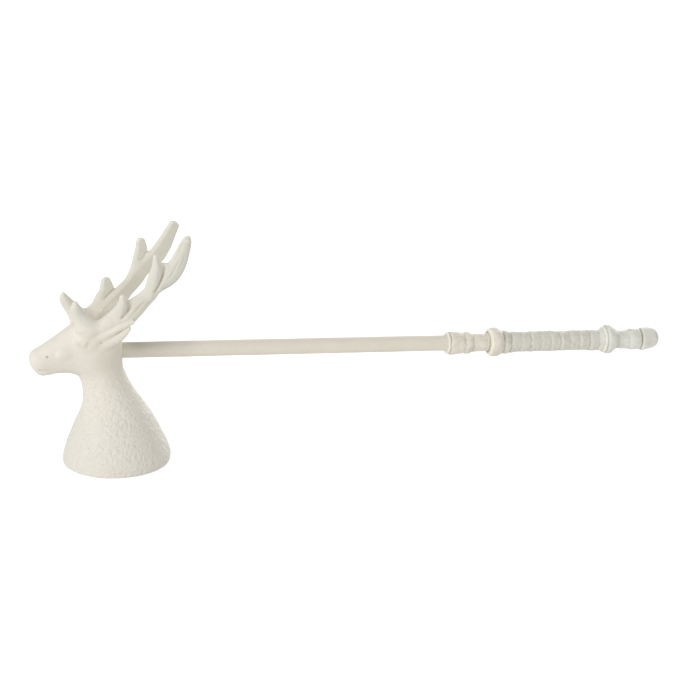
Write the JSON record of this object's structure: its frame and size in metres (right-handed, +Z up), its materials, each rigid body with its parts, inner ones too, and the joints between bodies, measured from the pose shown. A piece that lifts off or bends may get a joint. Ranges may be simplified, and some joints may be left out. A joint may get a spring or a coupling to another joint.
{
  "type": "candle snuffer",
  "caption": "Candle snuffer: a flared bell cast as a stag's neck, head and antlers, on a straight round rod with a turned, banded handle and rounded end cap",
  "frame": {"origin": "centre of the bell's mouth, with the rim in Z = 0", "axes": "+Z up through the neck, +X along the rod towards the end of the handle, -X the way the stag looks, -Y the stag's left side"},
  "size_m": [0.3061, 0.05, 0.1083],
  "materials": {
    "cast_paint": "matt cream paint over a fine cast surface",
    "rod_paint": "matt cream paint, smooth",
    "handle_paint": "matt cream paint over hand-turned metal",
    "steel": "plain steel"
  },
  "bodies": {
    "root": {"stag_head": "cast_paint", "left_antler": "cast_paint", "right_antler": "cast_paint", "left_antler_stud": "steel", "right_antler_stud": "steel", "rod": "rod_paint", "ferrule": "handle_paint", "front_collar": "handle_paint", "grip": "handle_paint", "rear_collar": "handle_paint", "end_washer": "steel", "end_cap": "handle_paint"}
  },
  "joints": []
}
